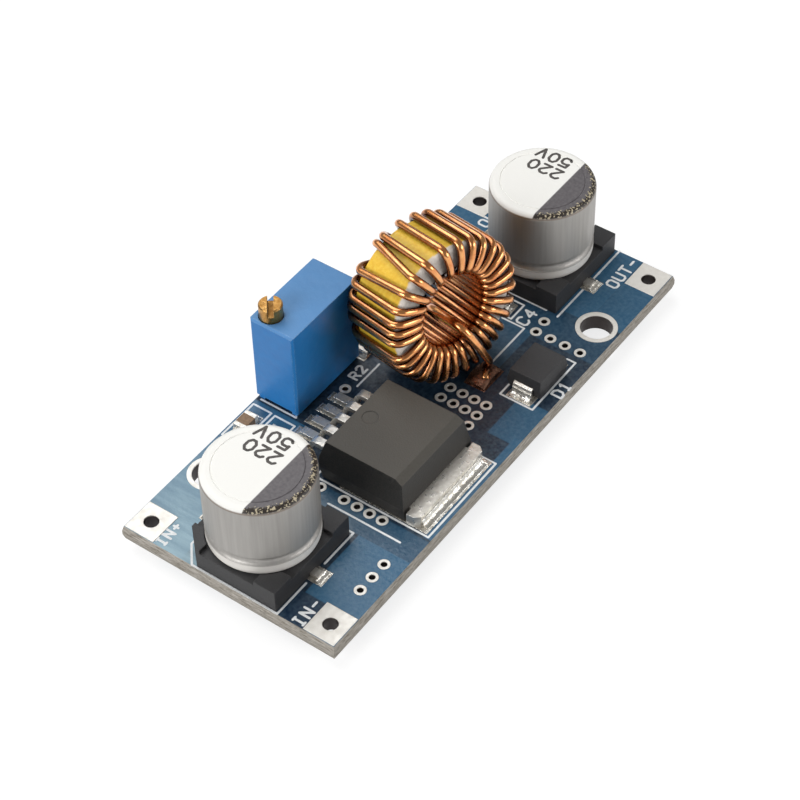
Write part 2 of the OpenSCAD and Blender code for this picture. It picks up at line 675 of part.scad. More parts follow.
module solder_joints() color("whitesmoke") {
    for (c = [cap_in_at, cap_out_at], s = [-1, 1])
        translate([c.x, c.y + s * (base_w / 2 + cap_lead_out), seat]) rotate(s * 90)
            toe(cap_land.x - 0.3, 0.55, 0.28);
    for (i = [-2 : 2]) translate([reg_at.x + i * reg_pitch, reg_toe, seat]) rotate(90)
        toe(reg_lead_w, 0.6, 0.42);
    translate([reg_at.x, reg_front, seat]) rotate(-90) toe(tab_w - 1.1, 0.75, 0.8);
    for (s = [0, 180]) translate([diode_at.x, diode_at.y, seat]) rotate(s)
        translate([diode_l / 2 + diode_lead_t + 0.02, 0, 0]) toe(diode_lead_w, 0.5, 0.85);
    for (c = chips, s = [0, 180]) translate([c[0].x, c[0].y, seat]) rotate(c[1] + s)
        translate([chip_l / 2, 0, 0]) toe(chip_w, 0.5, 0.42);
    coil_solder(coil_land_at[0], front_end, front_foot);
    coil_solder(coil_land_at[1], back_end, back_foot);
    // cones under the board, filled up through the plated holes
    for (p = pin_at) translate([p.x, p.y, 0]) rotate_extrude($fn = 32)
        polygon([[pin_d / 2, 0.12], [pin_d / 2 + 0.06, 0.12], [pin_d / 2 + 0.2, 0.45 * pin_stub],
            [pin_pad_r - 0.05, low - foil_t], [pin_hole_r, low - foil_t], [pin_hole_r, seat],
            [pin_d / 2, seat]]);
}

circuit_board();
terminal_pads();
mounting_rings();
vias();
trimmer_pads();
solder_lands();
input_cap_base();
input_cap_can();
input_cap_leads();
output_cap_base();
output_cap_can();
output_cap_leads();
regulator_body();
regulator_tab();
regulator_leads();
inductor_core();
inductor_winding();
diode_body();
diode_leads();
trimmer_housing();
trimmer_seal();
trimmer_pins();
trimmer_screw();
chip_bodies();
chip_end_caps();
solder_joints();
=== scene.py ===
from math import asin, atan2, cos, degrees, pi, radians, sin

import bmesh
import bpy
from mathutils import Matrix, Vector


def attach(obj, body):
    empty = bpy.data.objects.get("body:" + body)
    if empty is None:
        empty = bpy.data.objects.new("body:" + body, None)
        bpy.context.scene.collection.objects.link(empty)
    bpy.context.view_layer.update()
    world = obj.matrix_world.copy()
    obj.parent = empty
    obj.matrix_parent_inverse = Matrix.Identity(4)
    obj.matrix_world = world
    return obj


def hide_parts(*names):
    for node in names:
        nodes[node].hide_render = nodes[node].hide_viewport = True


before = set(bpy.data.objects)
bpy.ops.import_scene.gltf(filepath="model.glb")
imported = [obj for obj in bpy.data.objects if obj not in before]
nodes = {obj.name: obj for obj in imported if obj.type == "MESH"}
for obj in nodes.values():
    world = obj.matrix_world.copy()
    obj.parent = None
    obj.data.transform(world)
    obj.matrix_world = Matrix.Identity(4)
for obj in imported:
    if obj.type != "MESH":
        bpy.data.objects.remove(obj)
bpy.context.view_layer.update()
scene = bpy.context.scene
mm = 0.001
print("frame loaded,", len(nodes), "nodes")

# Camera: lengths in mm, angles in degrees.
view = {"target": (0.129, 1.399, 1.0), "distance": 213.538, "azimuth": -53.137,
        "elevation": 46.841, "roll": -1.462, "lens": 105.0, "sensor": 36, "near": 10}


def placeCamera():
    azimuth, elevation, roll = (radians(view[k]) for k in ("azimuth", "elevation", "roll"))
    back = Vector((sin(azimuth) * cos(elevation), -cos(azimuth) * cos(elevation), sin(elevation)))
    right = Vector((cos(azimuth), sin(azimuth), 0))
    up = back.cross(right)
    side = cos(roll) * right + sin(roll) * up
    top = cos(roll) * up - sin(roll) * right
    data = bpy.data.cameras.new("camera")
    data.lens = view["lens"]
    data.sensor_width = view["sensor"]
    data.clip_start = view["near"] * mm
    camera = bpy.data.objects.new("camera", data)
    scene.collection.objects.link(camera)
    place = Matrix((side, top, back)).transposed().to_4x4()
    place.translation = (Vector(view["target"]) + back * view["distance"]) * mm
    camera.matrix_world = place
    scene.camera = camera


placeCamera()
scene.view_settings.view_transform = "Standard"


# Short ways to wire up a node tree.
def add(tree, kind, values=None, **settings):
    made = tree.nodes.new("ShaderNode" + kind)
    for name, value in settings.items():
        setattr(made, name, value)
    for key, value in (values or {}).items():
        socket = made.inputs[key]
        if isinstance(value, bpy.types.NodeSocket):
            tree.links.new(value, socket)
        else:
            socket.default_value = value
    return made


def calc(tree, operation, first, second=0.0, third=0.0, clamp=False):
    made = add(tree, "Math", {0: first, 1: second, 2: third}, operation=operation, use_clamp=clamp)
    return made.outputs[0]


def spread(tree, value, low, high, start=0.0, end=1.0, smooth=True):
    made = add(tree, "MapRange", {0: value, 1: low, 2: high, 3: start, 4: end})
    made.interpolation_type = "SMOOTHSTEP" if smooth else "LINEAR"
    return made.outputs[0]


def mixColor(tree, share, first, second, how="MIX"):
    made = add(tree, "Mix", data_type="RGBA", blend_type=how)
    for slot, value in ((0, share), (6, first), (7, second)):
        if isinstance(value, bpy.types.NodeSocket):
            tree.links.new(value, made.inputs[slot])
        else:
            made.inputs[slot].default_value = value
    return made.outputs[2]


def tone(red, green, blue):
    # screen values from 0 to 255 as a linear colour
    line = [(v / 255 / 12.92) if v < 10.3 else ((v / 255 + 0.055) / 1.055) ** 2.4 for v in (red, green, blue)]
    return (*line, 1.0)


# Studio: a world that is white to the camera only, a floor that also shines in the metal, three soft lamps.
studio = {"ambient": 0.24, "floor glow": 0.78, "floor": tone(150, 150, 150), "floor size": 6.0,
          "floor drop": 0.00002}
lamps = {
    "keyLamp": {"at": (40, 190, 329), "size": (320, 320), "watts": 0.85},
    "sideLamp": {"at": (-400, 60, 190), "size": (260, 160), "watts": 1.0},
    "frontLamp": {"at": (130, -400, 150), "size": (300, 150), "watts": 0.75},
}


def seenDirectly(tree, mirrored):
    # 1 for the camera and, where mirrored, for reflections too
    path = add(tree, "LightPath")
    if mirrored:
        return calc(tree, "MAXIMUM", path.outputs["Is Camera Ray"], path.outputs["Is Glossy Ray"])
    return path.outputs["Is Camera Ray"]


def buildStudio():
    world = bpy.data.worlds.new("studioWorld")
    scene.world = world
    world.use_nodes = True
    tree = world.node_tree
    tree.nodes.clear()
    dim = add(tree, "Background", {"Color": (1, 1, 1, 1), "Strength": studio["ambient"]})
    white = add(tree, "Background", {"Color": (1, 1, 1, 1), "Strength": 1.0})
    both = add(tree, "MixShader", {0: seenDirectly(tree, False), 1: dim.outputs[0], 2: white.outputs[0]})
    add(tree, "OutputWorld", {"Surface": both.outputs[0]})

    shape = bmesh.new()
    bmesh.ops.create_grid(shape, x_segments=1, y_segments=1, size=studio["floor size"] / 2)
    mesh = bpy.data.meshes.new("floor")
    shape.to_mesh(mesh)
    shape.free()
    floor = bpy.data.objects.new("floor", mesh)
    scene.collection.objects.link(floor)
    floor.location.z = -studio["floor drop"]
    material = bpy.data.materials.new("floorPaper")
    material.use_nodes = True
    tree = material.node_tree
    tree.nodes.clear()
    paper = add(tree, "BsdfDiffuse", {"Color": studio["floor"]})
    seen = seenDirectly(tree, True)
    glow = add(tree, "Emission", {"Strength": calc(tree, "MULTIPLY", seen, studio["floor glow"])})
    both = add(tree, "AddShader", {0: paper.outputs[0], 1: glow.outputs[0]})
    add(tree, "OutputMaterial", {"Surface": both.outputs[0]})
    mesh.materials.append(material)

    for name, lamp in lamps.items():
        data = bpy.data.lights.new(name, "AREA")
        data.shape = "RECTANGLE"
        data.size, data.size_y = (v * mm for v in lamp["size"])
        data.energy = lamp["watts"]
        light = bpy.data.objects.new(name, data)
        scene.collection.objects.link(light)
        light.location = Vector(lamp["at"]) * mm
        light.rotation_euler = (-light.location).to_track_quat("-Z", "Y").to_euler()


buildStudio()
print("camera and studio placed")


# Effects that several finishes share. Material coordinates are in mm, group distances in metres.
def newGroup(name, inputs, outputs):
    group = bpy.data.node_groups.new(name, "ShaderNodeTree")
    kinds = {"float": "NodeSocketFloat", "vector": "NodeSocketVector", "color": "NodeSocketColor"}
    for title, kind, value in inputs:
        socket = group.interface.new_socket(title, in_out="INPUT", socket_type=kinds[kind])
        if value is not None:
            socket.default_value = value
    for title, kind in outputs:
        group.interface.new_socket(title, in_out="OUTPUT", socket_type=kinds[kind])
    entry = group.nodes.new("NodeGroupInput")
    way = group.nodes.new("NodeGroupOutput")
    return group, entry.outputs, way.inputs


def buildGrain():
    # cloudy noise in mm, pushed apart by its contrast
    group, given, result = newGroup(
        "grain",
        [("Vector", "vector", None), ("Scale", "float", 1.0), ("Detail", "float", 3.0),
         ("Contrast", "float", 1.0)],
        [("Mask", "float")])
    cloud = add(group, "TexNoise", {title: given[title] for title in ("Vector", "Scale", "Detail")})
    centred = calc(group, "SUBTRACT", cloud.outputs[0], 0.5)
    group.links.new(calc(group, "MULTIPLY_ADD", centred, given["Contrast"], 0.5, clamp=True), result["Mask"])
    return group


def buildEdge():
    # rounded normal and a mask of the outer edges
    group, given, result = newGroup(
        "edgeWear", [("Radius", "float", 0.0001), ("Gain", "float", 4.0)],
        [("Mask", "float"), ("Normal", "vector")])
    soft = group.nodes.new("ShaderNodeBevel")
    soft.samples = 4
    group.links.new(given["Radius"], soft.inputs["Radius"])
    flat = group.nodes.new("ShaderNodeNewGeometry")
    match = add(group, "VectorMath", {0: soft.outputs[0], 1: flat.outputs["Normal"]}, operation="DOT_PRODUCT")
    bend = calc(group, "SUBTRACT", 1.0, match.outputs["Value"])
    group.links.new(calc(group, "MULTIPLY", bend, given["Gain"], clamp=True), result["Mask"])
    group.links.new(soft.outputs[0], result["Normal"])
    return group


def buildPaintedShade():
    # painted shade from ambient occlusion: 1 deep in corners, 0 in the open
    group, given, result = newGroup(
        "paintedShade", [("Reach", "float", 0.001), ("Gain", "float", 1.0)], [("Mask", "float")])
    open_ = group.nodes.new("ShaderNodeAmbientOcclusion")
    open_.samples = 6
    group.links.new(given["Reach"], open_.inputs["Distance"])
    shut = calc(group, "SUBTRACT", 1.0, open_.outputs["AO"])
    group.links.new(calc(group, "MULTIPLY", shut, given["Gain"], clamp=True), result["Mask"])
    return group


def buildPatch():
    # a rectangle with soft borders, in mm
    group, given, result = newGroup(
        "patch",
        [("Vector", "vector", None), ("Centre", "vector", None), ("Half", "vector", None),
         ("Soft", "float", 0.1)],
        [("Mask", "float")])
    off = add(group, "VectorMath", {0: given["Vector"], 1: given["Centre"]}, operation="SUBTRACT")
    away = add(group, "VectorMath", {0: off.outputs[0]}, operation="ABSOLUTE")
    past = add(group, "VectorMath", {0: away.outputs[0], 1: given["Half"]}, operation="SUBTRACT")
    parts = add(group, "SeparateXYZ", {0: past.outputs[0]})
    far = calc(group, "MAXIMUM", parts.outputs[0], parts.outputs[1])
    share = calc(group, "DIVIDE", far, given["Soft"])
    group.links.new(calc(group, "SUBTRACT", 0.5, share, clamp=True), result["Mask"])
    return group


grain, edgeWear, paintedShade, patch = buildGrain(), buildEdge(), buildPaintedShade(), buildPatch()


def startFinish(name, **sockets):
    # a Principled material with its fixed numbers on the shader's own sockets
    material = bpy.data.materials.new(name)
    material.use_nodes = True
    tree = material.node_tree
    shader = tree.nodes["Principled BSDF"]
    for title, value in sockets.items():
        shader.inputs[title.replace("_", " ")].default_value = value
    metres = add(tree, "TexCoord").outputs["Object"]
    scaled = add(tree, "Mapping", {"Vector": metres, "Scale": (1 / mm, 1 / mm, 1 / mm)})
    return material, tree, shader, scaled.outputs[0]


def useGroup(tree, group, **values):
    made = tree.nodes.new("ShaderNodeGroup")
    made.node_tree = group
    for title, value in values.items():
        socket = made.inputs[title]
        if isinstance(value, bpy.types.NodeSocket):
            tree.links.new(value, socket)
        else:
            socket.default_value = value
    return made.outputs


def cloudy(tree, place, scale=1.0, contrast=1.0, detail=3.0):
    return useGroup(tree, grain, Vector=place, Scale=scale, Detail=detail, Contrast=contrast)["Mask"]


def boxed(tree, place, x0, y0, x1, y1, soft):
    # 1 over a rectangle of the board, 0 around it
    return useGroup(tree, patch, Vector=place, Centre=((x0 + x1) / 2, (y0 + y1) / 2, 0),
                    Half=((x1 - x0) / 2, (y1 - y0) / 2, 0), Soft=soft)["Mask"]


def stretched(tree, place, x, y, z):
    return add(tree, "VectorMath", {0: place, 1: (x, y, z)}, operation="MULTIPLY").outputs[0]


def awayFrom(tree, place, x, y):
    # distance from an upright line
    off = add(tree, "VectorMath", {0: place, 1: (x, y, 0)}, operation="SUBTRACT").outputs[0]
    return add(tree, "VectorMath", {0: stretched(tree, off, 1, 1, 0)}, operation="LENGTH").outputs["Value"]


def normalZ(tree):
    return add(tree, "SeparateXYZ", {0: add(tree, "NewGeometry").outputs["Normal"]}).outputs[2]


def upMask(tree):
    return spread(tree, normalZ(tree), 0.5, 0.8)


def giveRough(tree, shader, share, first, second):
    tree.links.new(spread(tree, share, 0, 1, first, second, smooth=False), shader.inputs["Roughness"])


def giveBump(tree, shader, height, distance, normal=None):
    values = {"Height": height, "Distance": distance, "Strength": 1.0}
    if normal is not None:
        values["Normal"] = normal
    tree.links.new(add(tree, "Bump", values).outputs[0], shader.inputs["Normal"])


# Board: dark mask over bare laminate, paler where copper lies under it; a pale sheen and a dark patch on the
# mask are painted reflections.
boardTop = 2.6
boardLook = {
    "bare": tone(16, 42, 68),
    "copper": tone(44, 96, 130),
    # pale is both the painted sheen at the input corner and the colour of dust
    "pale": tone(150, 182, 196),
    "deep": tone(8, 26, 44),
    "laminate": tone(196, 190, 182),
    "laminate dark": tone(128, 120, 108),
    "fleck": tone(214, 208, 196),
    "border": 0.12,
    "paintedSheen": (-33, 0, -19, 12, 11.0),
    "dust": 0.10,
    "side rough": 0.85,
    "mask rough": 0.3,
    "bump": 0.00003,
}
# x from, y from, x to, y to, strength and colour of each area of the mask, in mm
boardAreas = [
    (-27, -11.5, -16, -5.9, 1.0, "copper"),
    # painted reflection: this dark patch by IN- stands for the input capacitor's dark reflection in the mask
    (-27, -8.6, -23.6, -5.4, 1.0, "bare"),
    (-16, -11.5, -13.2, 2, 0.5, "copper"),
    (-27, 5, -8.5, 11.5, 1.0, "copper"),
    (-13, -11.4, 1, -10.6, 0.9, "copper"),
    (0.2, -11.4, 5.4, -8.2, 0.8, "copper"),
    (7, -4.6, 13, -0.5, 0.6, "copper"),
    (12.6, -11.4, 17, -2, 0.35, "copper"),
    (17, -8, 27, -5, 0.9, "copper"),
    (17.5, -11.5, 27, -8, 0.8, "copper"),
    (16, 6, 27, 11.5, 1.0, "copper"),
]


def makeBoardMask():
    material, tree, shader, place = startFinish("boardMask", Specular_IOR_Level=0.5)
    color = mixColor(tree, cloudy(tree, place, 0.5, 1.6), boardLook["bare"], boardLook["deep"])
    for x0, y0, x1, y1, strength, name in boardAreas:
        area = boxed(tree, place, x0, y0, x1, y1, boardLook["border"])
        color = mixColor(tree, calc(tree, "MULTIPLY", area, strength), color, boardLook[name])
    # painted reflection: pale sheen streaks at the input corner, where the glossy mask mirrors a bright
    # background, then dust all over
    sheenStreak = cloudy(tree, stretched(tree, place, 2.2, 0.25, 1), contrast=2.2)
    sheenStreak = calc(tree, "MULTIPLY_ADD", sheenStreak, 0.5, 0.6)
    paintedSheen = calc(tree, "MULTIPLY", boxed(tree, place, *boardLook["paintedSheen"]), sheenStreak)
    color = mixColor(tree, paintedSheen, color, boardLook["pale"])
    dust = cloudy(tree, place, 3.0, 3.0, 6.0)
    color = mixColor(tree, calc(tree, "MULTIPLY", dust, boardLook["dust"]), color, boardLook["pale"])
    # laminate on the sides: glass layers along the edge
    layers = cloudy(tree, stretched(tree, place, 0.7, 0.7, 7), 1.0, 3.2, 5.0)
    side = mixColor(tree, layers, boardLook["laminate dark"], boardLook["laminate"])
    fleck = cloudy(tree, stretched(tree, place, 3, 3, 9), contrast=6.0)
    side = mixColor(tree, calc(tree, "MULTIPLY", fleck, 0.35), side, boardLook["fleck"])
    flat = spread(tree, calc(tree, "ABSOLUTE", normalZ(tree)), 0.6, 0.85)
    tree.links.new(mixColor(tree, flat, side, color), shader.inputs["Base Color"])
    giveRough(tree, shader, flat, boardLook["side rough"], boardLook["mask rough"])
    height = mixColor(tree, flat, layers, cloudy(tree, place, 2.5))
    giveBump(tree, shader, height, boardLook["bump"])
    return material


# Tinned and soldered metal; flux is where the inductor's front land lies.
metalLooks = {
    "tinPlate": {"base": tone(250, 247, 240), "dark": tone(236, 232, 224), "metal": 0.35, "rough": 0.4,
                 "lump": 0.00001, "scale": 1.6, "boreShade": tone(44, 34, 32)},
    "solderBright": {"base": tone(246, 244, 238), "dark": tone(190, 184, 172), "metal": 0.8, "rough": 0.25,
                     "lump": 0.00005, "scale": 1.6, "flux": (5.65, -4.1)},
    "tinnedMetal": {"base": tone(238, 235, 228), "dark": tone(206, 200, 190), "metal": 0.8, "rough": 0.3,
                    "lump": 0.00001, "scale": 2.0},
}
fluxLook = {"pale": tone(168, 126, 104), "dark": tone(104, 66, 50), "ends": 2.6, "full": 1.7}


def makeTin(name):
    look = metalLooks[name]
    material, tree, shader, place = startFinish(name, Metallic=look["metal"])
    cloud = cloudy(tree, place, look["scale"], 2.2, 4.0)
    # painted shade: the tin turns to its dark tone in corners; the same dark tone is also its real cloudy
    # variation
    corner = useGroup(tree, paintedShade, Reach=0.0006, Gain=0.8)["Mask"]
    color = mixColor(tree, corner, mixColor(tree, cloud, look["dark"], look["base"]), look["dark"])
    if "boreShade" in look:
        # painted shade: the wall of a plated hole, below the board's top, is painted dark brown
        wall = spread(tree, calc(tree, "ABSOLUTE", normalZ(tree)), 0.7, 0.4)
        height = add(tree, "SeparateXYZ", {0: place}).outputs[2]
        sunk = spread(tree, height, boardTop + 0.02, boardTop - 0.1)
        color = mixColor(tree, calc(tree, "MULTIPLY", wall, sunk), color, look["boreShade"])
    if "flux" in look:
        near = spread(tree, awayFrom(tree, place, *look["flux"]), fluxLook["ends"], fluxLook["full"])
        color = mixColor(tree, near, color, mixColor(tree, cloud, fluxLook["pale"], fluxLook["dark"]))
    tree.links.new(color, shader.inputs["Base Color"])
    giveRough(tree, shader, cloud, look["rough"] + 0.12, look["rough"] - 0.08)
    giveBump(tree, shader, cloud, look["lump"], useGroup(tree, edgeWear, Radius=0.00008)["Normal"])
    return material


# moulded plastic: the lighter top and darker sides are painted light and shade
mouldedLooks = {
    "basePlastic": {"top": tone(50, 50, 52), "side": tone(30, 30, 32), "speck": tone(78, 77, 78)},
    "mouldedBlack": {"top": tone(76, 73, 67), "side": tone(26, 25, 24), "speck": tone(98, 94, 88)},
}


def makeMoulded(name):
    look = mouldedLooks[name]
    material, tree, shader, place = startFinish(name, Specular_IOR_Level=0.45)
    cloud = cloudy(tree, place, 7.0, 2.0, 6.0)
    wear = useGroup(tree, edgeWear, Radius=0.00012, Gain=3.0)
    # painted light and shade: lighter on faces turned up, darker on the sides
    color = mixColor(tree, upMask(tree), look["side"], look["top"])
    color = mixColor(tree, calc(tree, "MULTIPLY", cloud, 0.35), color, look["speck"])
    rub = calc(tree, "MULTIPLY", wear["Mask"], calc(tree, "MULTIPLY_ADD", cloud, 0.7, 0.1))
    tree.links.new(mixColor(tree, rub, color, look["speck"]), shader.inputs["Base Color"])
    giveRough(tree, shader, cloud, 0.42, 0.65)
    giveBump(tree, shader, cloud, 0.000012, wear["Normal"])
    return material


# Capacitor can: satin sleeve, brighter curled foot, printed lid.
canCentres = {"input": (-21.55, -0.05), "output": (21.35, 0.15)}
canLook = {
    "sleeve": tone(176, 173, 169),
    "sleeve line": tone(128, 126, 122),
    "foot": tone(240, 236, 230),
    "foot top": 5.9,
    "lid": tone(252, 251, 246),
    "print": tone(88, 84, 87),
    "print speck": tone(128, 124, 126),
    "chord": -1.9,
    "flake": tone(196, 184, 156),
    "flake gap": tone(44, 36, 30),
    "flakes from": 4.6,
    "rim": 12.55,
    "rimShade": tone(120, 100, 84),
}


def makeCan(end):
    material, tree, shader, place = startFinish(end + "Can")
    centre = canCentres[end]
    parts = add(tree, "SeparateXYZ", {0: place}).outputs
    lines = cloudy(tree, stretched(tree, place, 3, 3, 0.12), 1.0, 1.6, 4.0)
    foot = spread(tree, parts[2], canLook["foot top"] + 0.12, canLook["foot top"] - 0.12)
    sleeve = mixColor(tree, calc(tree, "MULTIPLY", lines, 0.4), canLook["sleeve"], canLook["sleeve line"])
    metal = mixColor(tree, foot, sleeve, canLook["foot"])
    across = calc(tree, "SUBTRACT", parts[1], centre[1])
    bar = spread(tree, across, canLook["chord"] + 0.06, canLook["chord"] - 0.06)
    speck = cloudy(tree, place, 3.5, 2.4, 5.0)
    ink = mixColor(tree, calc(tree, "MULTIPLY", speck, 0.45), canLook["print"], canLook["print speck"])
    lid = mixColor(tree, bar, canLook["lid"], ink)
    # the print flakes where it nears the lid's edge
    ragged = cloudy(tree, place, 4.5, 4.0, 5.0)
    reach = calc(tree, "MULTIPLY_ADD", ragged, 0.3, awayFrom(tree, place, *centre))
    worn = spread(tree, reach, canLook["flakes from"], canLook["flakes from"] + 0.1)
    flakes = mixColor(tree, spread(tree, ragged, 0.66, 0.86), canLook["flake gap"], canLook["flake"])
    lid = mixColor(tree, calc(tree, "MULTIPLY", worn, bar), lid, flakes)
    # painted shade: a dark line under the lid's edge
    top = spread(tree, parts[2], canLook["rim"] - 0.08, canLook["rim"] + 0.08)
    below = calc(tree, "SUBTRACT", 1.0, top)
    line = calc(tree, "MULTIPLY", spread(tree, parts[2], canLook["rim"] - 0.25, canLook["rim"] - 0.1), below)
    metal = mixColor(tree, calc(tree, "MULTIPLY", line, 0.6), metal, canLook["rimShade"])
    tree.links.new(mixColor(tree, top, metal, lid), shader.inputs["Base Color"])
    shiny = calc(tree, "MULTIPLY", below, spread(tree, foot, 0, 1, 0.75, 0.3))
    tree.links.new(shiny, shader.inputs["Metallic"])
    giveRough(tree, shader, lines, 0.42, 0.52)
    giveBump(tree, shader, lines, 0.000006)
    return material


# Inductor: enamelled wire and a core with one white face. Angles in degrees round the core's axis.
coil = {
    "wire": 0.72,
    "plump": 0.03,
    "gap": 0.05,
    "turnGap": 0.01,
    "clear": 0.005,
    "outer": 13.2,
    "inner": 8.4,
    "height": 6,
    "round": 0.45,
    "centre": (4.93, 1.12, 10.5405),
    "yaw": -14.2,
    "tilt": 8.9,
    "bow": 0.06,
    "bendSteps": 7,
    "loose": (12, 17),
    "drift": 2,
    "turnAt": (-62, -53.5, -45, -33.5, -21, -7.5, 6, 18, 30, 42, 54.5, 66.5, 79, 93.5, 110.5, 123.5, 137, 151,
               161.5, 169.5, 177.5, 194, 202, 213.5, 227, 241, 251, 262, 273.5, 284),
    "lean": {14: 1, 15: 7, 16: -3, 27: 1, 28: 2, 29: 3.5},
    "leadAt": -70,
    "seat": 2.65,
    "leadLift": 0.06,
    "leadRoute": ((7.3, -70, 4.1), (4.4, -73, 4.2), (1.7, -84, 3.4), (1.9, -80, -1.0)),
    "leadBend": 1.1,
    "frontEnd": (5.05, -4.65),
    "frontFoot": (6.5, -3.75),
    "lastDrift": 5,
    "backBend": 0.9,
    "backFoot": (6, 7.9),
    "backEnd": (6, 9.4),
    "copper": tone(252, 184, 114),
    "copper dark": tone(220, 128, 66),
    "copper shade": tone(72, 16, 6),
    "yellow": tone(255, 218, 84),
    "yellow dark": tone(240, 186, 44),
    "white": tone(250, 244, 236),
    "white dark": tone(226, 214, 200),
}
yaw, tilt = radians(coil["yaw"]), radians(coil["tilt"])
coil["acrossAxis"] = Vector((cos(yaw), sin(yaw), 0))
coil["faceAxis"] = Vector((sin(yaw) * cos(tilt), -cos(yaw) * cos(tilt), sin(tilt)))
coil["upAxis"] = coil["faceAxis"].cross(coil["acrossAxis"])


def makeCopper():
    material, tree, shader, place = startFinish(
        "enamelledCopper", Metallic=1.0, Coat_Weight=0.8, Coat_Roughness=0.08)
    cloud = cloudy(tree, place, 1.1, 1.8, 4.0)
    # painted shade: the wire darkens to deep red-brown in crevices and inside the hole
    deep = useGroup(tree, paintedShade, Reach=0.0024, Gain=1.6)["Mask"]
    color = mixColor(tree, cloud, coil["copper"], coil["copper dark"])
    tree.links.new(mixColor(tree, deep, color, coil["copper shade"]), shader.inputs["Base Color"])
    giveRough(tree, shader, cloud, 0.22, 0.3)
    giveBump(tree, shader, cloud, 0.000003)
    return material


def makeCoreCoating():
    material, tree, shader, place = startFinish("coreCoating", Roughness=0.42)
    centred = add(tree, "VectorMath", {0: place, 1: coil["centre"]}, operation="SUBTRACT").outputs[0]
    along = add(tree, "VectorMath", {0: centred, 1: coil["faceAxis"]}, operation="DOT_PRODUCT")
    along = along.outputs["Value"]
    rough = cloudy(tree, place, 3.0, 1.8, 6.0)
    face = coil["height"] / 2
    faced = spread(tree, calc(tree, "MULTIPLY_ADD", rough, 0.3, along), face - 0.35, face - 0.05)
    yellow = mixColor(tree, rough, coil["yellow"], coil["yellow dark"])
    white = mixColor(tree, rough, coil["white"], coil["white dark"])
    tree.links.new(mixColor(tree, faced, yellow, white), shader.inputs["Base Color"])
    giveBump(tree, shader, rough, 0.00005)
    return material


# the trimmer's paler top colour is a painted reflection
trimmerLook = {"blue": tone(34, 122, 196), "blue light": tone(46, 134, 206), "top": tone(104, 152, 198),
               "rubbed": tone(170, 205, 232)}


def makeTrimmerBlue():
    material, tree, shader, place = startFinish("trimmerBlue", Specular_IOR_Level=0.5)
    cloud = cloudy(tree, place, 1.2, 1.6, 5.0)
    wear = useGroup(tree, edgeWear, Radius=0.00014, Gain=3.5)
    fine = cloudy(tree, place, 6.0, 4.0, 4.0)
    color = mixColor(tree, cloud, trimmerLook["blue"], trimmerLook["blue light"])
    # painted reflection: faces turned up are tinted a paler, greyer blue
    color = mixColor(tree, calc(tree, "MULTIPLY", upMask(tree), 0.6), color, trimmerLook["top"])
    color = mixColor(tree, calc(tree, "MULTIPLY", wear["Mask"], fine), color, trimmerLook["rubbed"])
    tree.links.new(color, shader.inputs["Base Color"])
    giveRough(tree, shader, cloud, 0.32, 0.45)
    giveBump(tree, shader, cloud, 0.00002, wear["Normal"])
    return material


brassLook = {"brass": tone(206, 160, 96), "dull": tone(166, 118, 58), "rubbed": tone(240, 208, 150),
             "corner": tone(84, 52, 24)}


def makeBrass():
    material, tree, shader, place = startFinish("turnedBrass", Metallic=1.0)
    cloud = cloudy(tree, place, 3.0, 2.4, 5.0)
    wear = useGroup(tree, edgeWear, Radius=0.00006, Gain=3.0)
    # painted shade: the brass darkens to brown in corners
    corner = useGroup(tree, paintedShade, Reach=0.0008, Gain=1.0)["Mask"]
    color = mixColor(tree, cloud, brassLook["brass"], brassLook["dull"])
    color = mixColor(tree, wear["Mask"], color, brassLook["rubbed"])
    tree.links.new(mixColor(tree, corner, color, brassLook["corner"]), shader.inputs["Base Color"])
    giveRough(tree, shader, cloud, 0.25, 0.4)
    giveBump(tree, shader, cloud, 0.00001, wear["Normal"])
    return material


def makePlain(name, first, second, rough):
    material, tree, shader, place = startFinish(name)
    cloud = cloudy(tree, place, 3.0, 2.0, 5.0)
    tree.links.new(mixColor(tree, cloud, first, second), shader.inputs["Base Color"])
    giveRough(tree, shader, cloud, rough - 0.06, rough + 0.1)
    giveBump(tree, shader, cloud, 0.00002)
    return material


# Chip parts: brown ceramic, and a black film over the two resistors.
chipLook = {"brown": tone(150, 118, 84), "brown dark": tone(120, 92, 66), "side": tone(206, 202, 192),
            "film": tone(26, 27, 30), "film border": 0.1}
filmAreas = [(-13, 6.4, -10.2, 8.4), (1.2, 5.75, 4.0, 7.75)]


def makeChipBody():
    material, tree, shader, place = startFinish("chipCeramic", Roughness=0.45)
    cloud = cloudy(tree, place, 5.0, 2.0, 5.0)
    brown = mixColor(tree, cloud, chipLook["brown"], chipLook["brown dark"])
    black = mixColor(tree, upMask(tree), chipLook["side"], chipLook["film"])
    first, second = (boxed(tree, place, *area, chipLook["film border"]) for area in filmAreas)
    film = calc(tree, "MAXIMUM", first, second)
    tree.links.new(mixColor(tree, film, brown, black), shader.inputs["Base Color"])
    giveBump(tree, shader, cloud, 0.00001)
    return material


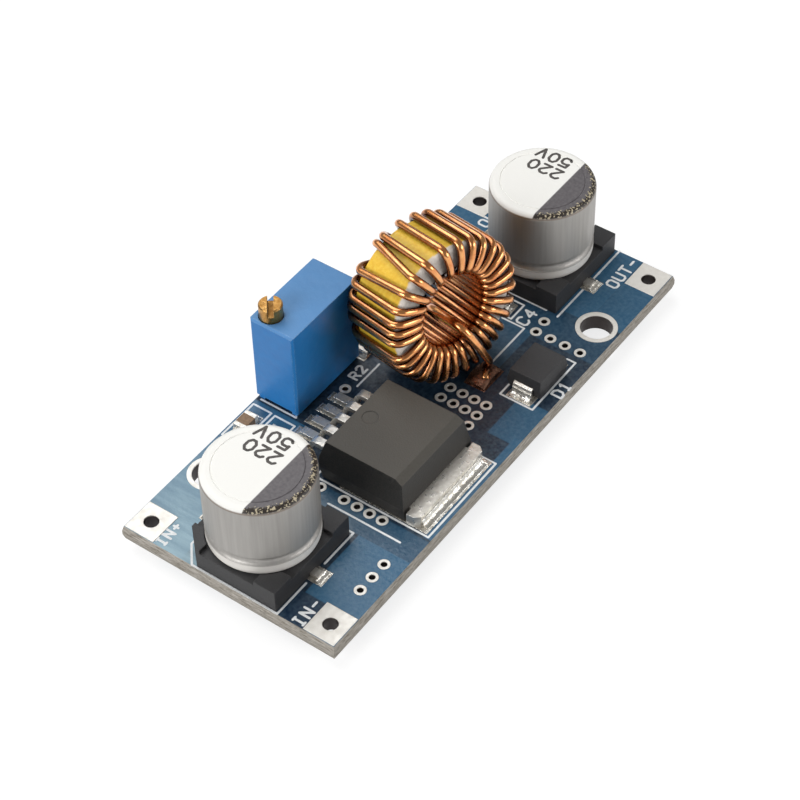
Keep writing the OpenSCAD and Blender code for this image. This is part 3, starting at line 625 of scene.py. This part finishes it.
tin, solder, tinned = (makeTin(name) for name in metalLooks)
blackPlastic, mouldedBlack = (makeMoulded(name) for name in mouldedLooks)
copper = makeCopper()
silkInk = makePlain("silkInk", tone(252, 253, 253), tone(232, 236, 238), 0.6)
lidInk = makePlain("lidInk", tone(62, 58, 56), tone(96, 92, 88), 0.55)
finishes = {
    "circuit_board": makeBoardMask(),
    "terminal_pads": tin, "mounting_rings": tin, "vias": tin, "trimmer_pads": tin,
    "solder_lands": solder, "solder_joints": solder,
    "input_cap_base": blackPlastic, "input_cap_can": makeCan("input"), "input_cap_leads": tinned,
    "output_cap_base": blackPlastic, "output_cap_can": makeCan("output"), "output_cap_leads": tinned,
    "regulator_body": mouldedBlack, "regulator_tab": tinned, "regulator_leads": tinned,
    "inductor_core": makeCoreCoating(), "inductor_winding": copper,
    "diode_body": blackPlastic, "diode_leads": tinned,
    "trimmer_housing": makeTrimmerBlue(), "trimmer_pins": tinned, "trimmer_screw": makeBrass(),
    "trimmer_seal": makePlain("sealResin", tone(30, 60, 110), tone(20, 40, 80), 0.35),
    "chip_bodies": makeChipBody(), "chip_end_caps": tinned,
}
for name, finish in finishes.items():
    nodes[name].data.materials.clear()
    nodes[name].data.materials.append(finish)
print("finishes made for", len(finishes), "nodes")


def makePiece(shape, name, material, body="module"):
    bmesh.ops.recalc_face_normals(shape, faces=shape.faces)
    mesh = bpy.data.meshes.new(name)
    shape.to_mesh(mesh)
    shape.free()
    mesh.materials.append(material)
    piece = bpy.data.objects.new(name, mesh)
    scene.collection.objects.link(piece)
    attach(piece, body)
    return piece


# Winding: the wire's centre line, turn by turn, in mm.
def inCoil(radius, angle, height):
    a = radians(angle)
    return (Vector(coil["centre"]) + coil["acrossAxis"] * (radius * cos(a))
            + coil["upAxis"] * (radius * sin(a)) + coil["faceAxis"] * height)


def ease(t):
    t = min(max(t, 0.0), 1.0)
    return t * t * (3 - 2 * t)


def windingLine():
    wireR = coil["wire"] / 2
    off = wireR + coil["gap"]
    rOut, rIn = coil["outer"] / 2 + off - coil["plump"] - coil["clear"], coil["inner"] / 2 - off
    half, bend = coil["height"] / 2 + off, coil["round"] + off
    tight = 2 * degrees(asin((coil["wire"] + coil["turnGap"]) / 2 / rIn))
    turnAt, count, leadAt, drift = coil["turnAt"], len(coil["turnAt"]), coil["leadAt"], coil["drift"]
    spare = 360 - (count + 1) * tight
    early, late = coil["loose"]

    def holeAt(k):
        return leadAt + k * tight + spare * ease((k - early) / (late - early))

    def backAt(k):
        return turnAt[k] - coil["lean"].get(k, 0)

    def quarter(radius, height, start, way):
        # a bend as steps of radius, height and share of the way out
        steps = []
        for i in range(coil["bendSteps"] + 1):
            a = radians(start + way * 90 * i / coil["bendSteps"])
            r = radius + bend * cos(a)
            steps.append((r, height + bend * sin(a), (r - rIn) / (rOut - rIn)))
        return steps

    def span(first, last):
        # the run between two bends, bowed a little away from the core
        steps = []
        for t in (0.25, 0.5, 0.75):
            r = first[0] + (last[0] - first[0]) * t
            lift = coil["bow"] * sin(pi * t) * (1 if first[1] > 0 else -1)
            steps.append((r, first[1] + lift, (r - rIn) / (rOut - rIn)))
        return steps

    frontOut, frontIn = quarter(rOut - bend, half - bend, 0, 1), quarter(rIn + bend, half - bend, 90, 1)
    backIn, backOut = quarter(rIn + bend, bend - half, 180, 1), quarter(rOut - bend, bend - half, 270, 1)
    front = frontOut + span(frontOut[-1], frontIn[0]) + frontIn
    back = backIn + span(backIn[-1], backOut[0]) + backOut

    def lay(steps, inner, outer):
        return [inCoil(r, inner + (outer - inner) * share, h) for r, h, share in steps]

    def cornered(before, at, after, radius):
        # a smooth bend of a lead at one point
        u, v = (before - at).normalized(), (after - at).normalized()
        reach = min(radius / max(u.cross(v).length, 0.2) * 1.2, 0.45 * (before - at).length,
                    0.45 * (after - at).length)
        first, last = at + u * reach, at + v * reach
        return [first.lerp(at, t).lerp(at.lerp(last, t), t) for t in (0, 0.17, 0.33, 0.5, 0.67, 0.83, 1)]

    leadZ = coil["seat"] + wireR + coil["leadLift"]
    frontEnd, frontFoot, backFoot, backEnd = (
        Vector((*coil[end], leadZ)) for end in ("frontEnd", "frontFoot", "backFoot", "backEnd"))
    firstTurn = lay(back, holeAt(0) + drift, backAt(0))
    # the front lead crosses the face and dips into the middle of the hole
    route = [frontEnd, frontFoot, *(inCoil(*at) for at in coil["leadRoute"]), firstTurn[0]]
    line = [frontEnd]
    for before, at, after in zip(route, route[1:], route[2:]):
        line += cornered(before, at, after, coil["leadBend"])
    line += firstTurn
    for k in range(1, count):
        line += lay(front, holeAt(k), turnAt[k - 1]) + lay(back, holeAt(k) + drift, backAt(k))
    line += lay(front, holeAt(count), turnAt[count - 1])
    out, last = holeAt(count) + drift, holeAt(count) + drift + coil["lastDrift"]
    behind = inCoil(rOut - bend, last, -half)
    line += lay(backIn, out, last)
    line += cornered(line[-1], behind, backFoot, coil["backBend"])
    line += cornered(behind, backFoot, backEnd, coil["backBend"]) + [backEnd]
    return line


def tube(name, line, radius, material, sides=3):
    # a round wire along a line in mm, as one closed mesh
    data = bpy.data.curves.new(name + "Line", "CURVE")
    data.dimensions = "3D"
    data.bevel_depth = radius * mm
    data.bevel_resolution = sides
    data.use_fill_caps = True
    path = data.splines.new("POLY")
    path.points.add(len(line) - 1)
    for point, at in zip(path.points, line):
        point.co = (*(at * mm), 1)
    guide = bpy.data.objects.new(name + "Guide", data)
    scene.collection.objects.link(guide)
    bpy.context.view_layer.update()
    mesh = bpy.data.meshes.new_from_object(guide.evaluated_get(bpy.context.evaluated_depsgraph_get()))
    bpy.data.objects.remove(guide)
    shape = bmesh.new()
    shape.from_mesh(mesh)
    bpy.data.meshes.remove(mesh)
    bmesh.ops.remove_doubles(shape, verts=shape.verts, dist=1e-7)
    for face in shape.faces:
        face.smooth = True
    return makePiece(shape, name, material)


winding = tube("coilWinding", windingLine(), coil["wire"] / 2 + coil["plump"], copper)
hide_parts("inductor_winding")
print("winding laid,", len(winding.data.polygons), "faces")

# Print on the board: strokes on a grid 4 wide and 6 high.
glyphs = {
    "I": [((1, 0), (3, 0)), ((1, 6), (3, 6)), ((2, 0), (2, 6))],
    "N": [((0, 0), (0, 6), (4, 0), (4, 6))],
    "O": [((1, 0), (3, 0), (4, 1), (4, 5), (3, 6), (1, 6), (0, 5), (0, 1), (1, 0))],
    "U": [((0, 6), (0, 1), (1, 0), (3, 0), (4, 1), (4, 6))],
    "T": [((0, 6), (4, 6)), ((2, 6), (2, 0))],
    "C": [((4, 5), (3, 6), (1, 6), (0, 5), (0, 1), (1, 0), (3, 0), (4, 1))],
    "R": [((0, 0), (0, 6), (3, 6), (4, 5), (4, 4), (3, 3), (0, 3)), ((2, 3), (4, 0))],
    "D": [((0, 0), (2.5, 0), (4, 1.5), (4, 4.5), (2.5, 6), (0, 6), (0, 0))],
    "V": [((0, 6), (2, 0), (4, 6))],
    "0": [((1.2, 0), (2.8, 0), (4, 1.6), (4, 4.4), (2.8, 6), (1.2, 6), (0, 4.4), (0, 1.6), (1.2, 0))],
    "1": [((1, 5), (2, 6), (2, 0)), ((1, 0), (3, 0))],
    "2": [((0, 5), (1, 6), (3, 6), (4, 5), (4, 4), (0, 0), (4, 0))],
    "4": [((3, 0), (3, 6), (0, 2), (4, 2))],
    "5": [((4, 6), (0.3, 6), (0, 3.4), (1, 4), (3, 4), (4, 3), (4, 1), (3, 0), (1, 0), (0, 1))],
    "+": [((0.5, 3), (3.5, 3)), ((2, 1.5), (2, 4.5))],
    "-": [((0.5, 3), (3.5, 3))],
}
silk = {"z": boardTop, "thick": 0.02, "line": 0.2, "letter": 0.23}
# shares of the ink's thickness, so that no two bars or discs that cross have their tops level
inkStep = {"disc": 0.6, "nextDisc": 0.02, "nextBar": 0.03, "nextStroke": 0.13, "nextLine": 0.017}
silkLines = [
    ((-26.8, -5.4), (-26.8, 3.8), (-25, 5.3), (-16.1, 5.3), (-16.1, -5.4), (-20.2, -5.4)),
    ((-26.8, -5.4), (-22.8, -5.4)),
    ((16.15, -4), (16.15, 5.6)), ((16, -5.35), (20.4, -5.35)), ((22.3, -5.35), (26.9, -5.35)),
    ((-12.8, 1.0), (-12.8, -10.95), (-2.5, -10.95), (-2.5, -9.1)), ((-12.8, 1.2), (-11.6, 1.2)),
    ((-14.65, -1.6), (-14.65, -9.3)),
    ((-8.2, 10.9), (-8.2, 6.9)), ((-8.2, 7.0), (1.4, 7.0)),
    ((-13.6, 9.05), (-9.05, 9.05), (-9.05, 11.1), (-13.6, 11.1)),
    ((-13.6, 6.35), (-9.1, 6.35), (-9.1, 8.6), (-13.6, 8.6)),
    ((-1.9, 4.7), (1.5, 4.7)),
    ((6.2, -6.5), (4.75, -6.5), (4.75, -10), (11.9, -10), (11.9, -9.1)),
    ((7.4, -3.65), (12.95, -3.65), (12.95, -1.2)),
    ((13.3, -1.95), (15.5, -1.95), (15.5, 2.2), (13.3, 2.2), (13.3, -1.95)),
]
# word, x, y and height
silkWords = [
    ("IN+", -26.6, 7.1, 0.95), ("IN-", -26.7, -7.9, 1.05),
    ("OUT-", 22.3, -7.8, 1.12), ("OUT+", 22.4, 7.0, 1.1),
    ("C4", 13.3, -3.6, 1.15), ("R2", -1.3, 5.2, 0.95), ("D1", 7.4, -11.35, 1.05),
]


def stroke(shape, points, width, z, thick):
    # one drawn line: a flat bar for each stretch and a disc at each point
    radius = width / 2 * mm
    for i, point in enumerate(points):
        tall = thick * (inkStep["disc"] + inkStep["nextDisc"] * i)
        place = Matrix.Translation(Vector((*point, z + tall / 2)) * mm)
        bmesh.ops.create_cone(shape, cap_ends=True, segments=10, radius1=radius, radius2=radius,
                              depth=tall * mm, matrix=place)
    for i, (first, last) in enumerate(zip(points, points[1:])):
        tall = thick * (1 - inkStep["nextBar"] * i)
        run = Vector(last) - Vector(first)
        middle = (Vector(first) + Vector(last)) / 2
        place = Matrix.Translation(Vector((*middle, z + tall / 2)) * mm) @ Matrix.Rotation(
            atan2(run.y, run.x), 4, "Z") @ Matrix.Diagonal((run.length * mm, width * mm, tall * mm, 1))
        bmesh.ops.create_cube(shape, size=1, matrix=place)


def write(shape, words, at, height, width, z, thick, along=(1, 0), up=(0, 1), step=6.2):
    unit = height / 6
    for i, letter in enumerate(words):
        for j, points in enumerate(glyphs.get(letter, [])):
            start = Vector(at)
            laid = [(start + Vector(along) * ((x + i * step) * unit) + Vector(up) * (y * unit)).to_tuple()
                    for x, y in points]
            stroke(shape, laid, width, z, thick * (1 - inkStep["nextStroke"] * j))


shape = bmesh.new()
for i, points in enumerate(silkLines):
    stroke(shape, points, silk["line"], silk["z"], silk["thick"] * (1 - inkStep["nextLine"] * i))
for words, x, y, height in silkWords:
    write(shape, words, (x, y), height, silk["letter"], silk["z"], silk["thick"])
makePiece(shape, "silkPrint", silkInk)

# Lid print: plain values, read from the board's far side.
lidPrint = {"height": 1.22, "width": 0.26, "z": 12.9, "thick": 0.015,
            "lines": (("220", 2.07, -0.97), ("50V", 3.87, -0.8))}
for end, centre in canCentres.items():
    shape = bmesh.new()
    for words, x, y in lidPrint["lines"]:
        write(shape, words, (centre[0] + x, centre[1] + y), lidPrint["height"], lidPrint["width"],
              lidPrint["z"], lidPrint["thick"], along=(0, 1), up=(-1, 0))
    makePiece(shape, end + "LidPrint", lidInk)
print("print laid on board and lids")

print("pieces done")
